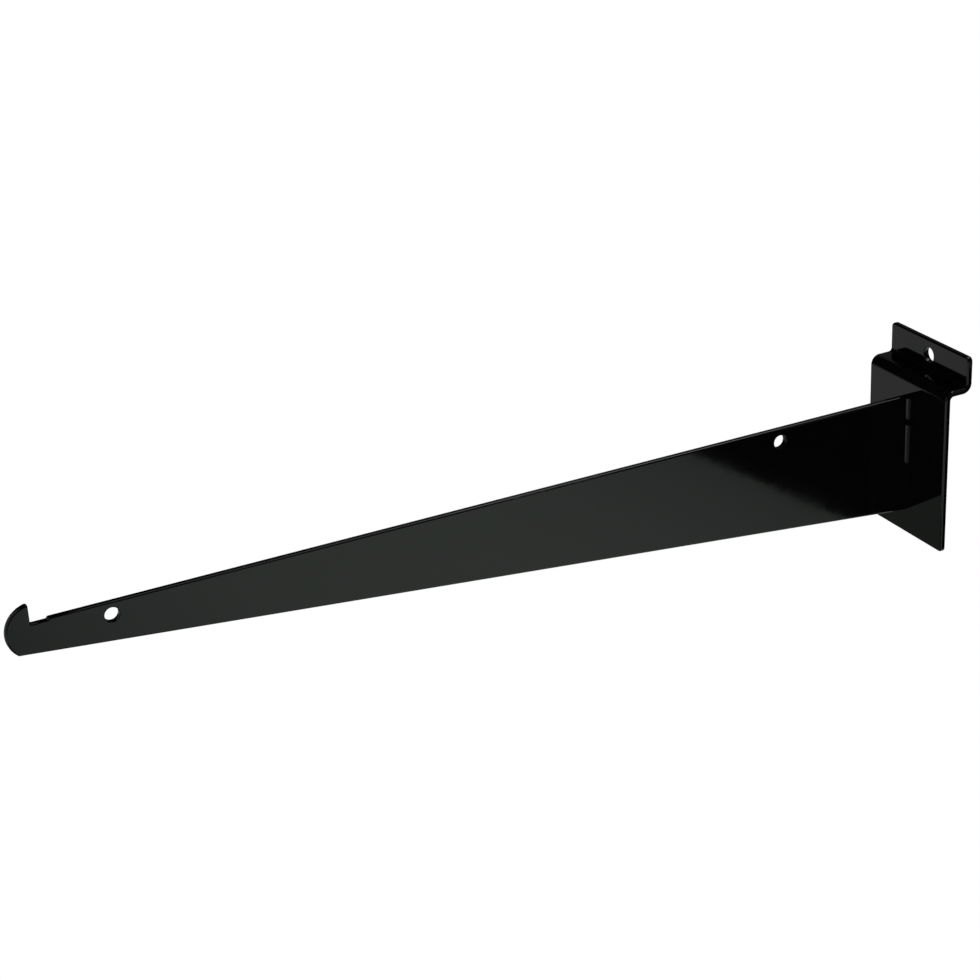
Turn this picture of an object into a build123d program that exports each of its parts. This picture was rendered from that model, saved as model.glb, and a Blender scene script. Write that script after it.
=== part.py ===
"""Slatwall shelf bracket: a tapered steel blade welded edge-on to a folded hook plate.

Frame, in millimetres: +Z is up and +Y points at the wall. The origin lies on the plate's back face,
in the blade's middle plane, at shelf level, which is the height of the blade's top edge.
"""

import os
from math import sqrt

from build123d import *

os.makedirs("parts", exist_ok=True)

# Blade: flat sheet standing on edge
blade_reach = 300.0  # plate's front face to the end of the nose
blade_thickness = 2.0
blade_root_height = 40.7  # at the plate
blade_nose_height = 9.9  # under the nose's centre

# Nose, hook and shelf notch at the blade's front end
nose_radius = 8.4
nose_drop = 2.9  # the nose's centre below shelf level
hook_width = 7.3  # end of the nose to the hook's inner wall
hook_corner_radius = 0.6
notch_length = 4.9  # along the blade, behind the hook
notch_depth = 0.6
notch_corner_radius = 0.5
heel_radius = 0.6  # where the nose meets the lower edge

# Holes through the blade
blade_hole_diameter = 4.4
front_hole_from_tip = 30.2
front_hole_drop = 4.0  # hole's centre below shelf level
rear_hole_from_plate = 49.5
rear_hole_drop = 4.5

# Wall plate: one sheet folded twice into a Z
plate_width = 40.0
plate_thickness = 2.0
plate_drop = 48.5  # lower edge below shelf level
plate_corner_radius = 1.1
bend_radius = 1.2  # inside both folds
ledge_rise = 7.2  # top of the ledge above shelf level
tongue_height = 10.0  # above the ledge
tongue_corner_radius = 1.5
tongue_hole_diameter = 5.0
tongue_hole_rise = 4.8  # hole's centre above the ledge

# The slatwall that the plate hooks into
slat_lip_thickness = 6.0
lip_clearance = 0.1

# Weld stitches in the two corners between blade and plate
weld_leg = 1.0
weld_crown = 0.1  # how far the weld's face bulges
weld_start = 0.5  # first stitch below shelf level
upper_weld_length = 7.7
weld_gap = 1.6
lower_weld_length = 13.7

# Rounding of the cut sheet edges
edge_radius = 0.55

# Places that follow from the sizes above
plate_front = -plate_thickness
tip = plate_front - blade_reach
nose_centre = tip + nose_radius
hook_wall = tip + hook_width
notch_end = hook_wall + notch_length
hook_top = sqrt(nose_radius**2 - (hook_wall - nose_centre) ** 2) - nose_drop
tongue_front = slat_lip_thickness + lip_clearance
tongue_back = tongue_front + plate_thickness
tongue_top = ledge_rise + tongue_height
ledge_under = ledge_rise - plate_thickness
half_blade = blade_thickness / 2
half_plate = plate_width / 2


def heel_point():
    """Where the nose's circle meets the blade's straight lower edge, as (y, z)."""
    centre = Vector(nose_centre, -nose_drop)
    root = Vector(plate_front, -blade_root_height)
    below_nose = Vector(nose_centre, -blade_nose_height)
    along = (below_nose - root).normalized()
    foot = root + along * (centre - root).dot(along)
    half_chord = sqrt(nose_radius**2 - (centre - foot).length ** 2)
    heel = foot + along * half_chord
    return heel.X, heel.Y


# Blade
with BuildPart() as blade:
    with BuildSketch(Plane.YZ) as blade_outline:
        with BuildLine():
            top_edge = Polyline(
                (plate_front, -blade_root_height),
                (plate_front, 0),
                (notch_end, 0),
                (notch_end, -notch_depth),
                (hook_wall, -notch_depth),
                (hook_wall, hook_top),
            )
            nose = ThreePointArc((hook_wall, hook_top), (tip, -nose_drop), heel_point())
            Line(nose @ 1, top_edge @ 0)
        make_face()
        for corner, radius in (
            ((hook_wall, hook_top), hook_corner_radius),
            ((hook_wall, -notch_depth), notch_corner_radius),
            (heel_point(), heel_radius),
        ):
            fillet(blade_outline.vertices().sort_by_distance(corner)[0], radius)
    extrude(amount=half_blade, both=True)

    # Cut edges, but for the end that butts against the plate
    sheet_faces = blade.faces().filter_by(Axis.X)
    fillet(
        sheet_faces.edges().filter_by(lambda edge: edge.center().Y < plate_front - edge_radius),
        edge_radius,
    )

    with Locations(
        Plane(origin=(half_blade, tip + front_hole_from_tip, -front_hole_drop), z_dir=(1, 0, 0)),
        Plane(origin=(half_blade, plate_front - rear_hole_from_plate, -rear_hole_drop), z_dir=(1, 0, 0)),
    ):
        Hole(radius=blade_hole_diameter / 2, depth=blade_thickness)
blade.part.label = "blade"

# Wall plate
with BuildPart() as wall_plate:
    with BuildSketch(Plane.YZ):
        with BuildLine():
            FilletPolyline(
                (0, -plate_drop),
                (0, ledge_under),
                (tongue_back, ledge_under),
                (tongue_back, tongue_top),
                radius=[bend_radius, bend_radius + plate_thickness],
            )
            offset(amount=plate_thickness, side=Side.LEFT)
        make_face()
    extrude(amount=half_plate, both=True)

    through_edges = wall_plate.edges().filter_by(Axis.Y).group_by(Axis.Z)
    fillet(through_edges[-1], tongue_corner_radius)
    fillet(through_edges[0], plate_corner_radius)

    # Both broad sides of the sheet run from the lower edge over the folds to the tongue's top
    wide_faces = wall_plate.faces().filter_by(lambda face: face.bounding_box().size.X > half_plate)
    broad_faces = wide_faces.sort_by(Axis.Z)[1:-1]
    rim_faces = wall_plate.faces() - broad_faces
    fillet(broad_faces.edges() & rim_faces.edges(), edge_radius)

    with Locations(Plane(origin=(0, tongue_front, ledge_rise + tongue_hole_rise), z_dir=(0, -1, 0))):
        Hole(radius=tongue_hole_diameter / 2, depth=plate_thickness)
wall_plate.part.label = "wall_plate"


def weld_stitch(label, side, top, length):
    """A fillet weld in the corner between blade and plate; side is +1 on the right and -1 on the left."""
    corner_x = side * half_blade
    toe_x = side * (half_blade + weld_leg)
    toe_y = plate_front - weld_leg
    crown = (weld_leg / 2) + weld_crown / sqrt(2)
    middle = top - length / 2
    with BuildPart() as stitch:
        with BuildSketch(Plane.XY.offset(middle)):
            with BuildLine():
                Polyline((toe_x, plate_front), (corner_x, plate_front), (corner_x, toe_y))
                ThreePointArc(
                    (corner_x, toe_y),
                    (corner_x + side * crown, plate_front - crown),
                    (toe_x, plate_front),
                )
            make_face()
        extrude(amount=length / 2, both=True)
        # Rounded ends, seen from the front and from the side
        with BuildSketch(Plane.XZ.offset(-plate_front)):
            with Locations((corner_x, middle)):
                SlotOverall(length, 2 * weld_leg, rotation=90)
        extrude(amount=weld_leg, mode=Mode.INTERSECT)
        with BuildSketch(Plane.YZ.offset(corner_x)):
            with Locations((plate_front, middle)):
                SlotOverall(length, 2 * weld_leg, rotation=90)
        extrude(amount=side * weld_leg, mode=Mode.INTERSECT)
    stitch.part.label = label
    return stitch


# Weld stitches: two on each side of the blade, the upper one close under its top edge
upper_weld_top = -weld_start
lower_weld_top = upper_weld_top - upper_weld_length - weld_gap
stitches = []
for side_name, side in (("right", 1), ("left", -1)):
    stitches.append(weld_stitch(f"upper_weld_{side_name}", side, upper_weld_top, upper_weld_length))
    stitches.append(weld_stitch(f"lower_weld_{side_name}", side, lower_weld_top, lower_weld_length))

for piece in (blade, wall_plate, *stitches):
    export_step(piece.part, f"parts/{piece.part.label}.step")
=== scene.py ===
"""Slatwall shelf bracket in glossy black enamelled steel, shown against plain white.

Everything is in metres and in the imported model's frame: +Z is up, +Y points at the wall, and the
origin lies on the wall plate's back face, in the blade's middle plane, at shelf level.
"""

from math import atan2, cos, hypot, pi, radians, sin, sqrt

import bmesh
import bpy
from mathutils import Matrix, Vector


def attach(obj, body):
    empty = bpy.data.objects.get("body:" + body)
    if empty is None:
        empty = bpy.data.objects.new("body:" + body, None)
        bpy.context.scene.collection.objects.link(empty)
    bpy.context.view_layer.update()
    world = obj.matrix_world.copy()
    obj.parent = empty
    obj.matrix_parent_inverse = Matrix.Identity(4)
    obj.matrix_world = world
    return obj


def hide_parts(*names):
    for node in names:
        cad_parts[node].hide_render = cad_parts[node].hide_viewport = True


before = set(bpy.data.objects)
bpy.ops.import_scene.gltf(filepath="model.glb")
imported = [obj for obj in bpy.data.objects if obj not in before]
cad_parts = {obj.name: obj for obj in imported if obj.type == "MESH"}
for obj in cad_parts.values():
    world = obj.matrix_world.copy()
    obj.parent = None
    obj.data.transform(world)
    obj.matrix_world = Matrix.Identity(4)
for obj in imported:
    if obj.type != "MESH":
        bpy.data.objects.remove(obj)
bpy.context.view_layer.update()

mm = 0.001

# Blade
sheet = 2.0 * mm  # thickness of both steel sheets
half_sheet = sheet / 2
plate_front = -sheet
tip = plate_front - 300.0 * mm
root_height = 40.7 * mm
nose_height = 9.9 * mm  # of the blade under the nose's centre
nose_radius = 8.4 * mm
nose_drop = 2.9 * mm
nose_centre = tip + nose_radius
hook_wall = tip + 7.3 * mm
hook_corner_radius = 0.6 * mm
notch_end = hook_wall + 4.9 * mm
notch_depth = 0.6 * mm
notch_corner_radius = 0.5 * mm
heel_radius = 0.6 * mm
blade_hole_radius = 2.2 * mm
blade_holes = (  # front and rear, as (y, z)
    (tip + 30.2 * mm, -4.0 * mm),
    (plate_front - 49.5 * mm, -4.5 * mm),
)
root_paint = 0.06 * mm  # how far the paint swells on either side where the blade meets the plate

# Wall plate
half_plate = 20.0 * mm
plate_drop = 48.5 * mm
plate_corner_radius = 1.1 * mm
fold_radius = 2.2 * mm  # both folds, in the middle of the sheet
front_fold = (1.2 * mm, 4.0 * mm)  # axes of the folds, as (y, z)
tongue_fold = (4.9 * mm, 8.4 * mm)
tongue_middle = tongue_fold[0] + fold_radius
tongue_top = 17.2 * mm
tongue_corner_radius = 1.5 * mm
tongue_hole_height = 12.0 * mm
tongue_hole_radius = 2.5 * mm

# Weld stitches, as (name, top, length)
weld_stitches = (("upper_weld", -0.5 * mm, 7.7 * mm), ("lower_weld", -9.8 * mm, 13.7 * mm))
weld_leg = 1.0 * mm
weld_crown = 0.1 * mm
weld_end = 0.45 * mm  # rounding of a stitch's ends
weld_step = 0.15 * mm
weld_ripple = 0.03  # of the bead's size
weld_ripple_length = 1.3 * mm
weld_run = 23.5 * mm  # from shelf level to the end of the lower stitch
weld_on_plate, weld_on_blade = 0.9, 1.0  # how far the bead reaches at shelf level, of its leg
plate_thinning, blade_thinning = 0.2, 0.1  # what it loses down the run, of its leg

# Cut edges and punched rims, rounded by tumbling and paint
edge_radius = 0.55 * mm
rim_radius = 0.2 * mm

# Facets of each arc
nose_facets = 64
hook_facets = 10
notch_facets = 8
heel_facets = 6
fold_facets = 18
corner_facets = 10  # of the plate's and the tongue's corners
edge_facets = 6  # across a rounded edge
rim_facets = 3
hole_facets = 74
weld_facets = 144  # of the whole circle that a bead's crown belongs to

# How the meshes are chosen, cut and merged
crease = radians(35)  # edges sharper than this are rounded, and stay crisp in the shading
near_plane = 0.01 * mm  # how near a point counts as in a plane
near_rim = 0.02 * mm  # or on a hole's rim
cut_tolerance = 0.001 * mm  # how near a cut takes a point as its own
punch_merge = 0.004 * mm  # points nearer than this become one after a punch
last_merge = 0.0005 * mm  # and on the finished piece
flat_margin = 0.02 * mm  # width of the strip round a flat face
smallest_flat = 25 * mm**2

# Camera, fitted to the photograph
camera_place = (0.556792, -0.426778, 0.285201)
camera_heading = radians(63.8513)
camera_tilt = radians(90.0 - 24.3905)  # from looking straight down
camera_roll = radians(-2.8828)
sensor_width = 36.0
lens = 84.653

# Floor, and the band of painted light on it, a glow that shows only in the enamel's gloss
floor_size = 3.0
floor_turn = radians(-10.7)
floor_edge = (0.698, 0.410, -0.4)  # a point on the floor's far edge
floor_light = 0.135
painted_band_light = 0.56  # added to the floor's in the middle of the band
band_middle = 0.14  # along Y
band_core, band_rim = 0.03, 0.56  # half widths where its light starts to fall and where it ends
band_start, band_full = -0.45, -0.05  # along X, where its light begins and where it is whole

# Softboxes: name, azimuth from +X to +Y and elevation in degrees, distance, width, height, radiance
softboxes = (
    ("overhead_softbox", 86, 70, 1.65, 1.3, 1.2, 0.7),
    ("overhead_lamp", 110, 65, 1.7, 0.6, 0.65, 2.0),
    ("back_left_softbox", 150, 26, 1.6, 0.85, 0.5, 0.06),
    ("back_right_softbox", 20, 36, 1.45, 0.3, 0.6, 0.2),
    ("key_lamp", 24, 34, 1.3, 0.1, 0.1, 12.0),
    ("left_front_softbox", -143, -16, 0.95, 0.44, 0.277, 0.22),
    ("front_softbox", -69, -21.5, 0.75, 0.72, 0.2, 0.5),
    ("front_high_softbox", -92.5, 12.5, 0.46, 0.58, 0.34, 0.26),
    ("right_softbox", 0, 8, 1.4, 0.6, 0.5, 0.12),
    ("left_softbox", 180, -4, 1.4, 0.9, 0.6, 0.12),
    ("rear_softbox", 90, -2, 1.6, 0.9, 0.6, 0.25),
    ("rear_right_softbox", 45, -10, 1.5, 0.78, 0.48, 0.16),
    ("rear_left_softbox", 140, -14, 1.5, 0.8, 0.5, 0.25),
)


# Camera

def add_camera():
    """Puts the camera at the photograph's viewpoint: right of the blade, above it, by its nose."""
    data = bpy.data.cameras.new("camera")
    data.sensor_width = sensor_width
    data.lens = lens
    data.clip_start = 0.01
    data.clip_end = 50.0
    camera = bpy.data.objects.new("camera", data)
    bpy.context.scene.collection.objects.link(camera)
    turn = (
        Matrix.Rotation(camera_heading, 4, "Z")
        @ Matrix.Rotation(camera_tilt, 4, "X")
        @ Matrix.Rotation(camera_roll, 4, "Z")
    )
    camera.matrix_world = Matrix.Translation(camera_place) @ turn
    bpy.context.scene.camera = camera


add_camera()


# Modelling by hand

def pick(piece):
    """Selects this piece alone, in object mode."""
    bpy.ops.object.select_all(action="DESELECT")
    piece.select_set(True)
    bpy.context.view_layer.objects.active = piece


def start(name, add_primitive, **settings):
    """Adds a primitive under its piece's name, with its place in the mesh, in edit mode."""
    bpy.ops.object.select_all(action="DESELECT")
    add_primitive(**settings)
    piece = bpy.context.object
    piece.name = name
    piece.data.name = name
    bpy.ops.object.transform_apply(location=True, rotation=True, scale=True)
    bpy.ops.object.mode_set(mode="EDIT")
    return piece


def choose(piece, kind, wanted):
    """Selects the vertices, edges or faces that wanted says yes to, and nothing else."""
    bpy.ops.mesh.select_mode(type=kind)
    bpy.ops.mesh.select_all(action="DESELECT")
    mesh = bmesh.from_edit_mesh(piece.data)
    elements = {"VERT": mesh.verts, "EDGE": mesh.edges, "FACE": mesh.faces}[kind]
    for element in elements:
        element.select_set(wanted(element))
    mesh.select_flush_mode()
    bmesh.update_edit_mesh(piece.data)


def extrude(step):
    """Extrudes what is selected and moves it by step."""
    bpy.ops.mesh.extrude_region_move(TRANSFORM_OT_translate={"value": step})


def start_line(name, x, first):
    """Starts a piece as one point at (y, z) in the plane of that x, to draw its outline from."""
    piece = start(name, bpy.ops.mesh.primitive_plane_add, size=mm, location=(x, *first))
    bpy.ops.mesh.select_mode(type="VERT")
    bpy.ops.mesh.select_all(action="SELECT")
    bpy.ops.mesh.merge(type="CENTER")
    return piece


def line_to(piece, y, z):
    """Draws a straight run from the outline's end to (y, z)."""
    mesh = bmesh.from_edit_mesh(piece.data)
    end = next(v for v in mesh.verts if v.select).co
    extrude((0, y - end.y, z - end.z))


def arc_round(y, z, angle, facets):
    """Draws an arc from the outline's end round the axis at (y, z), positive from +Y up to +Z."""
    bpy.ops.mesh.spin(steps=facets, angle=angle, center=(0, y, z), axis=(-1, 0, 0))


def punch(piece, centre, direction, across, radius):
    """Punches a round hole through the sheet, and parts its flat faces straight across the hole."""
    bpy.ops.mesh.select_all(action="SELECT")
    bpy.ops.mesh.bisect(plane_co=centre, plane_no=across)
    bpy.ops.object.mode_set(mode="OBJECT")
    bpy.ops.object.select_all(action="DESELECT")
    bpy.ops.mesh.primitive_cylinder_add(
        vertices=hole_facets,
        radius=radius,
        depth=3 * sheet,
        location=centre,
        rotation=Vector(direction).to_track_quat("Z", "Y").to_euler(),
    )
    tool = bpy.context.object
    cut = piece.modifiers.new("punch", "BOOLEAN")
    cut.operation = "DIFFERENCE"
    cut.solver = "EXACT"
    cut.object = tool
    pick(piece)
    bpy.ops.object.modifier_apply(modifier=cut.name)
    bpy.data.objects.remove(tool)
    bpy.ops.object.mode_set(mode="EDIT")
    bpy.ops.mesh.select_all(action="SELECT")
    bpy.ops.mesh.remove_doubles(threshold=punch_merge)


def round_edges(piece, radius, facets, wanted):
    """Rounds the sharp edges that wanted says yes to."""

    def sharp(edge):
        return edge.is_manifold and edge.calc_face_angle() > crease and wanted(edge)

    choose(piece, "EDGE", sharp)
    bpy.ops.mesh.bevel(
        offset=radius,
        offset_type="OFFSET",
        segments=facets,
        profile=0.5,
        affect="EDGES",
        clamp_overlap=False,
    )


def keep_flat(piece):
    """Rings each flat face with a narrow coplanar strip, where the smooth shading ends."""
    choose(piece, "FACE", lambda face: face.calc_area() > smallest_flat)
    bpy.ops.mesh.inset(thickness=flat_margin, use_even_offset=True, use_individual=True)


def complete(piece, slot, material, *nodes):
    """Closes a piece: outward faces, smooth roundings by flat faces, and its place in the frame."""
    bpy.ops.mesh.select_all(action="SELECT")
    bpy.ops.mesh.remove_doubles(threshold=last_merge)
    bpy.ops.mesh.normals_make_consistent(inside=False)
    bpy.ops.object.mode_set(mode="OBJECT")
    pick(piece)
    bpy.ops.object.shade_smooth_by_angle(angle=crease)
    piece.data.materials.clear()
    piece.data.materials.append(material)
    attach(piece, "root")
    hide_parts(*nodes)


# Materials

def linear(hex_colour):
    """An sRGB hex colour as the linear values that a shader takes."""
    channels = [int(hex_colour[i : i + 2], 16) / 255 for i in (1, 3, 5)]
    return [c / 12.92 if c <= 0.04045 else ((c + 0.055) / 1.055) ** 2.4 for c in channels] + [1.0]


def node(tree, kind, settings=(), **inputs):
    """Adds a node, sets its properties, and fills its inputs with values or links."""
    new = tree.nodes.new(kind)
    for name, value in dict(settings).items():
        setattr(new, name, value)
    for name, value in inputs.items():
        place = int(name[1:]) if name[1:].isdigit() else name.replace("_", " ")
        socket = new.inputs[place]
        if isinstance(value, bpy.types.NodeSocket):
            tree.links.new(value, socket)
        else:
            socket.default_value = value
    return new


def black_enamel(name, peel_size, peel_height, roughness):
    """Stoved black enamel: deep black, with sharp reflections that waver in its orange peel."""
    material = bpy.data.materials.new(name)
    material.use_nodes = True
    tree = material.node_tree
    tree.nodes.clear()
    place = node(tree, "ShaderNodeTexCoord").outputs["Object"]
    # Orange peel: the slow swell that the stoved film keeps, which bends the edges of reflections
    peel = node(
        tree, "ShaderNodeTexNoise", Vector=place, Scale=1 / peel_size, Detail=2.0, Roughness=0.45
    )
    bump = node(
        tree, "ShaderNodeBump", Strength=1.0, Distance=peel_height, Height=peel.outputs["Fac"]
    )
    # Sheen: the film dries up to 1.4 times as dull in patches the size of a fingertip
    fingertip = 18 * mm
    cloud = node(
        tree, "ShaderNodeTexNoise", Vector=place, Scale=1 / fingertip, Detail=2.0, Roughness=0.5
    )
    sheen = node(
        tree,
        "ShaderNodeMapRange",
        _0=cloud.outputs["Fac"],
        _1=0.3,
        _2=0.7,
        _3=roughness,
        _4=1.4 * roughness,
    )
    shader = node(
        tree,
        "ShaderNodeBsdfPrincipled",
        Roughness=sheen.outputs[0],
        Normal=bump.outputs["Normal"],
    )
    shader.inputs["Base Color"].default_value = linear("#030303")
    shader.inputs["IOR"].default_value = 1.5
    node(tree, "ShaderNodeOutputMaterial", Surface=shader.outputs[0])
    return material


sheet_enamel = black_enamel(
    "stoved_black_enamel_on_sheet_steel", peel_size=4 * mm, peel_height=0.004 * mm, roughness=0.04
)
weld_enamel = black_enamel(
    "stoved_black_enamel_over_weld", peel_size=0.8 * mm, peel_height=0.004 * mm, roughness=0.09
)


# Blade

def along_lower_edge():
    """Unit step along the blade's straight lower edge, from the wall to the nose, as (y, z)."""
    run, rise = plate_front - nose_centre, root_height - nose_height
    return -run / hypot(run, rise), rise / hypot(run, rise)


def heel():
    """Axis of the small rounding between the nose and the lower edge, as (y, z)."""
    step_y, step_z = along_lower_edge()
    # Foot of the nose's axis on a line that runs inside the lower edge, by the rounding's radius
    start_y = plate_front + heel_radius * step_z
    start_z = -root_height - heel_radius * step_y
    to_foot = (nose_centre - start_y) * step_y + (-nose_drop - start_z) * step_z
    foot = (start_y + to_foot * step_y, start_z + to_foot * step_z)
    depth = hypot(foot[0] - nose_centre, foot[1] + nose_drop)
    beyond = sqrt((nose_radius - heel_radius) ** 2 - depth**2)
    return foot[0] + beyond * step_y, foot[1] + beyond * step_z


def at_root(point):
    """Whether a vertex lies on the end that butts against the wall plate."""
    return point.co.y > plate_front - near_plane


def in_blade_hole(edge):
    """Whether an edge belongs to the rim of one of the blade's holes."""

    def on_a_rim(point):
        to_centres = [hypot(point.co.y - y, point.co.z - z) for y, z in blade_holes]
        return any(abs(distance - blade_hole_radius) < near_rim for distance in to_centres)

    return all(map(on_a_rim, edge.verts))


def model_blade():
    """Tapered blade: its outline is drawn, filled, and pulled to the sheet's thickness."""
    corner_y = hook_wall - hook_corner_radius
    reach = nose_radius - hook_corner_radius
    corner_z = sqrt(reach**2 - (corner_y - nose_centre) ** 2) - nose_drop
    hook_turn = atan2(corner_z + nose_drop, corner_y - nose_centre)
    heel_axis = heel()
    nose_end = atan2(heel_axis[1] + nose_drop, heel_axis[0] - nose_centre) + 2 * pi
    step_y, step_z = along_lower_edge()
    edge_turn = atan2(step_y, -step_z) + 2 * pi
    notch_y, notch_z = hook_wall + notch_corner_radius, notch_corner_radius - notch_depth
    blade = start_line("bracket_blade", -half_sheet, (plate_front, 0))
    line_to(blade, notch_end, 0)
    line_to(blade, notch_end, -notch_depth)
    line_to(blade, notch_y, -notch_depth)
    arc_round(notch_y, notch_z, -pi / 2, notch_facets)
    line_to(blade, hook_wall, corner_z)
    arc_round(corner_y, corner_z, hook_turn, hook_facets)
    arc_round(nose_centre, -nose_drop, nose_end - hook_turn, nose_facets)
    arc_round(*heel_axis, edge_turn - nose_end, heel_facets)
    line_to(blade, plate_front, -root_height)
    bpy.ops.mesh.select_all(action="SELECT")
    bpy.ops.mesh.edge_face_add()
    extrude((sheet, 0, 0))
    round_edges(blade, edge_radius, edge_facets, lambda edge: not all(map(at_root, edge.verts)))
    for y, z in blade_holes:
        punch(blade, (0, y, z), (1, 0, 0), (0, 1, 0), blade_hole_radius)
    round_edges(blade, rim_radius, rim_facets, in_blade_hole)
    keep_flat(blade)
    choose(blade, "VERT", at_root)
    bpy.ops.transform.resize(
        value=(1 + root_paint / half_sheet, 1, 1), center_override=(0, plate_front, 0)
    )
    complete(blade, "painted_sheet", sheet_enamel, "blade")


# Wall plate

def in_tongue_hole(edge):
    """Whether an edge belongs to the rim of the tongue's hole."""
    return all(
        abs(hypot(v.co.x, v.co.z - tongue_hole_height) - tongue_hole_radius) < near_rim
        for v in edge.verts
    )


def model_wall_plate():
    """Z-folded plate: its profile is drawn mid-sheet, pulled to its width, and thickened."""
    plate = start_line("bracket_wall_plate", -half_plate, (-half_sheet, -plate_drop))
    line_to(plate, -half_sheet, front_fold[1])
    arc_round(*front_fold, -pi / 2, fold_facets)
    line_to(plate, tongue_fold[0], front_fold[1] + fold_radius)
    arc_round(*tongue_fold, pi / 2, fold_facets)
    line_to(plate, tongue_middle, tongue_top)
    bpy.ops.mesh.select_all(action="SELECT")
    extrude((2 * half_plate, 0, 0))
    for z, radius in ((-plate_drop, plate_corner_radius), (tongue_top, tongue_corner_radius)):
        choose(plate, "VERT", lambda v: abs(v.co.z - z) < near_plane)
        bpy.ops.mesh.bevel(
            offset=radius, segments=corner_facets, affect="VERTICES", clamp_overlap=False
        )
    bpy.ops.object.mode_set(mode="OBJECT")
    pick(plate)
    thick = plate.modifiers.new("sheet", "SOLIDIFY")
    thick.thickness = sheet
    thick.offset = 0
    thick.use_even_offset = True
    bpy.ops.object.modifier_apply(modifier=thick.name)
    bpy.ops.object.mode_set(mode="EDIT")
    bpy.ops.mesh.select_all(action="SELECT")
    bpy.ops.mesh.normals_make_consistent(inside=False)
    round_edges(plate, edge_radius, edge_facets, lambda edge: True)
    centre = (0, tongue_middle, tongue_hole_height)
    punch(plate, centre, (0, 1, 0), (0, 0, 1), tongue_hole_radius)
    round_edges(plate, rim_radius, rim_facets, in_tongue_hole)
    keep_flat(plate)
    complete(plate, "painted_sheet", sheet_enamel, "wall_plate")


# Weld stitches

def weld_rings(length):
    """Depths of a stitch's rings below its top: close together at its ends, even along its run."""
    end = [weld_end * (1 - cos(radians(angle))) for angle in (6, 18, 32, 46, 60, 75)]
    steps = round((length - 2 * weld_end) / weld_step)
    run = [weld_end + i * (length - 2 * weld_end) / steps for i in range(steps + 1)]
    return end + run + [length - depth for depth in reversed(end)]


def model_weld(name, side, side_name, top, length):
    """A stitch between blade and plate: a crowned section pulled down the corner, ring by ring."""
    root = Vector((side * half_sheet, plate_front, 0))
    chord = sqrt(2) * weld_leg
    crown_radius = (chord**2 / 4 + weld_crown**2) / (2 * weld_crown)
    inset = (crown_radius - weld_crown - chord / 2) / sqrt(2)
    bead = start(
        f"bracket_{name}_{side_name}",
        bpy.ops.mesh.primitive_circle_add,
        vertices=weld_facets,
        radius=crown_radius,
        fill_type="NGON",
        location=(root.x - side * inset, root.y + inset, top),
    )
    bpy.ops.mesh.select_all(action="SELECT")
    bpy.ops.mesh.bisect(
        plane_co=root, plane_no=(side, 0, 0), clear_inner=True, threshold=cut_tolerance
    )
    bpy.ops.mesh.select_all(action="SELECT")
    bpy.ops.mesh.bisect(
        plane_co=root, plane_no=(0, 1, 0), clear_outer=True, threshold=cut_tolerance
    )
    bpy.ops.mesh.select_all(action="SELECT")
    on_plate, on_blade, depth = 1.0, 1.0, 0.0
    for next_depth in weld_rings(length):
        to_end = min(next_depth, length - next_depth)
        rounding = sqrt(1 - (1 - min(1.0, to_end / weld_end)) ** 2)
        ripple = 1 - weld_ripple * (1 - cos(2 * pi * next_depth / weld_ripple_length)) / 2
        # The bead thins as it runs down, and lies a little more on the blade than on the plate
        below_shelf = next_depth - top
        plate_part = weld_on_plate - plate_thinning * below_shelf / weld_run
        blade_part = weld_on_blade - blade_thinning * below_shelf / weld_run
        next_on_plate = rounding * ripple * plate_part
        next_on_blade = rounding * ripple * blade_part
        if depth:
            extrude((0, 0, depth - next_depth))
        else:
            bpy.ops.transform.translate(value=(0, 0, -next_depth))
        bpy.ops.transform.resize(
            value=(next_on_plate / on_plate, next_on_blade / on_blade, 1),
            center_override=(root.x, root.y, top - next_depth),
        )
        on_plate, on_blade, depth = next_on_plate, next_on_blade, next_depth
    complete(bead, "painted_weld", weld_enamel, f"{name}_{side_name}")


model_blade()
model_wall_plate()
for side_name, side in (("right", 1), ("left", -1)):
    for name, top, length in weld_stitches:
        model_weld(name, side, side_name, top, length)


# Studio

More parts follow.
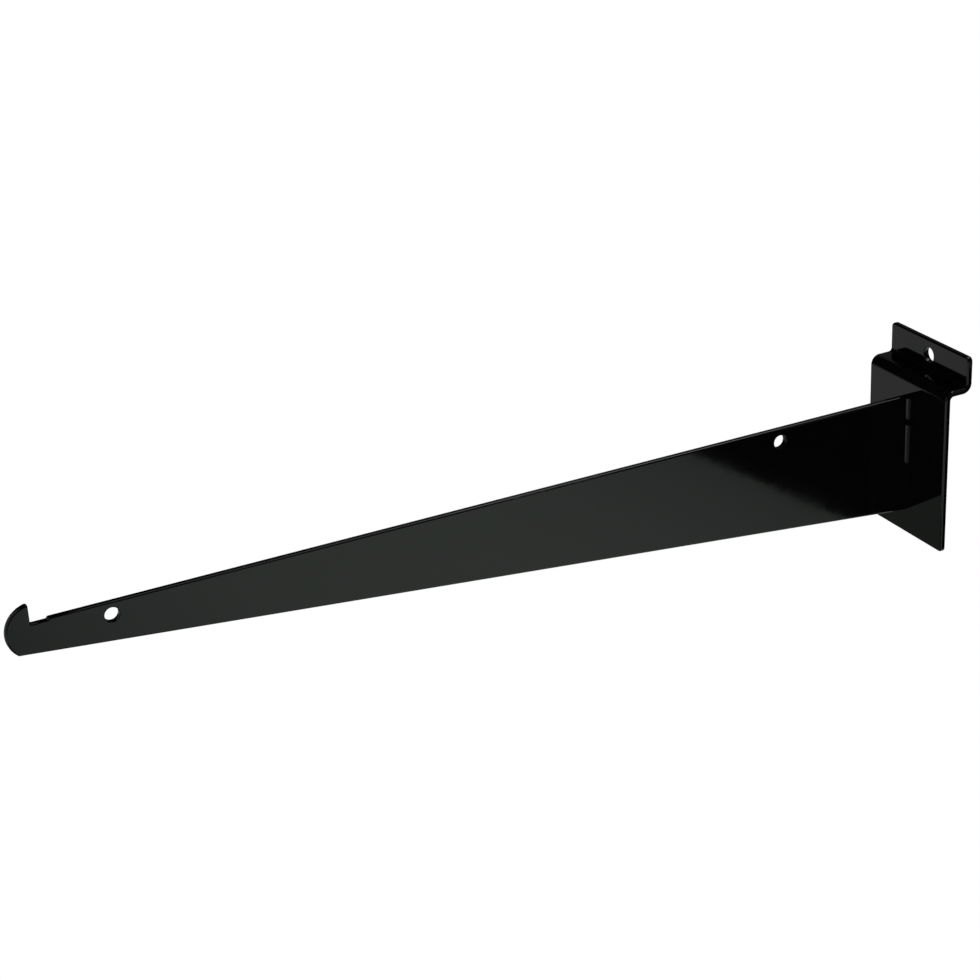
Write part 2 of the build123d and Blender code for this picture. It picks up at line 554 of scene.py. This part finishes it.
def studio_floor():
    """Pale floor well below the bracket, which hangs free as it does on its wall."""
    bpy.ops.object.select_all(action="DESELECT")
    bpy.ops.mesh.primitive_grid_add(size=floor_size)
    floor = bpy.context.object
    floor.name = "floor"
    floor.rotation_euler = (0, 0, floor_turn)
    edge_to_middle = Vector((-sin(floor_turn), cos(floor_turn), 0)) * floor_size / 2
    floor.location = Vector(floor_edge) - edge_to_middle
    material = bpy.data.materials.new("matt_white_paper_with_painted_light_band")
    material.use_nodes = True
    tree = material.node_tree
    tree.nodes.clear()
    rays = node(tree, "ShaderNodeLightPath")
    paper = node(tree, "ShaderNodeBsdfDiffuse", Color=linear("#E8E8E8"))
    white = node(tree, "ShaderNodeEmission", Color=linear("#FFFFFF"), Strength=1.0)
    # Painted light: in the enamel's gloss the paper glows in a band from under the bracket out to
    # the right, an emission that stands in for a pool of light
    position = node(tree, "ShaderNodeNewGeometry").outputs["Position"]
    place = node(tree, "ShaderNodeSeparateXYZ", Vector=position)
    subtract, absolute = {"operation": "SUBTRACT"}, {"operation": "ABSOLUTE"}
    multiply, add = {"operation": "MULTIPLY"}, {"operation": "ADD"}
    smooth = {"interpolation_type": "SMOOTHSTEP"}
    off_band = node(tree, "ShaderNodeMath", subtract, _0=place.outputs["Y"], _1=band_middle)
    apart = node(tree, "ShaderNodeMath", absolute, _0=off_band.outputs[0])
    band = node(
        tree,
        "ShaderNodeMapRange",
        smooth,
        _0=apart.outputs[0],
        _1=band_core,
        _2=band_rim,
        _3=1.0,
        _4=0.0,
    )
    reach = node(
        tree,
        "ShaderNodeMapRange",
        smooth,
        _0=place.outputs["X"],
        _1=band_start,
        _2=band_full,
        _3=0.0,
        _4=painted_band_light,
    )
    painted_band = node(tree, "ShaderNodeMath", multiply, _0=band.outputs[0], _1=reach.outputs[0])
    painted_glow_level = node(tree, "ShaderNodeMath", add, _0=painted_band.outputs[0], _1=floor_light)
    # Painted light: the floor's glow in the gloss, an even level with the painted band added on top
    painted_glow = node(tree, "ShaderNodeEmission", Color=linear("#EFFDF2"), Strength=painted_glow_level.outputs[0])
    seen = node(
        tree,
        "ShaderNodeMixShader",
        _0=rays.outputs["Is Glossy Ray"],
        _1=paper.outputs[0],
        _2=painted_glow.outputs[0],
    )
    shown = node(
        tree,
        "ShaderNodeMixShader",
        _0=rays.outputs["Is Camera Ray"],
        _1=seen.outputs[0],
        _2=white.outputs[0],
    )
    node(tree, "ShaderNodeOutputMaterial", Surface=shown.outputs[0])
    floor.data.materials.append(material)


def studio_world():
    """White to the camera and nearly dark in the gloss, where only floor and softboxes show."""
    world = bpy.data.worlds.new("studio")
    bpy.context.scene.world = world
    world.use_nodes = True
    tree = world.node_tree
    tree.nodes.clear()
    rays = node(tree, "ShaderNodeLightPath")
    room = node(tree, "ShaderNodeBackground", Color=linear("#FFFFFF"), Strength=0.8)
    dark = node(tree, "ShaderNodeBackground", Color=linear("#FFFFFF"), Strength=0.004)
    white = node(tree, "ShaderNodeBackground", Color=linear("#FFFFFF"), Strength=1.0)
    seen = node(
        tree,
        "ShaderNodeMixShader",
        _0=rays.outputs["Is Glossy Ray"],
        _1=room.outputs[0],
        _2=dark.outputs[0],
    )
    shown = node(
        tree,
        "ShaderNodeMixShader",
        _0=rays.outputs["Is Camera Ray"],
        _1=seen.outputs[0],
        _2=white.outputs[0],
    )
    node(tree, "ShaderNodeOutputWorld", Surface=shown.outputs[0])


def softbox(name, azimuth, elevation, distance, width, height, radiance):
    """A rectangular lamp that faces the origin."""
    lamp = bpy.data.lights.new(name, "AREA")
    lamp.shape = "RECTANGLE"
    lamp.size = width
    lamp.size_y = height
    lamp.energy = radiance * pi * width * height
    holder = bpy.data.objects.new(name, lamp)
    bpy.context.scene.collection.objects.link(holder)
    turn, rise = radians(azimuth), radians(elevation)
    away = Vector((cos(rise) * cos(turn), cos(rise) * sin(turn), sin(rise)))
    holder.location = away * distance
    holder.rotation_euler = away.to_track_quat("Z", "Y").to_euler()
    holder.visible_camera = False


studio_floor()
studio_world()
for box in softboxes:
    softbox(*box)

bpy.context.scene.view_settings.view_transform = "Standard"
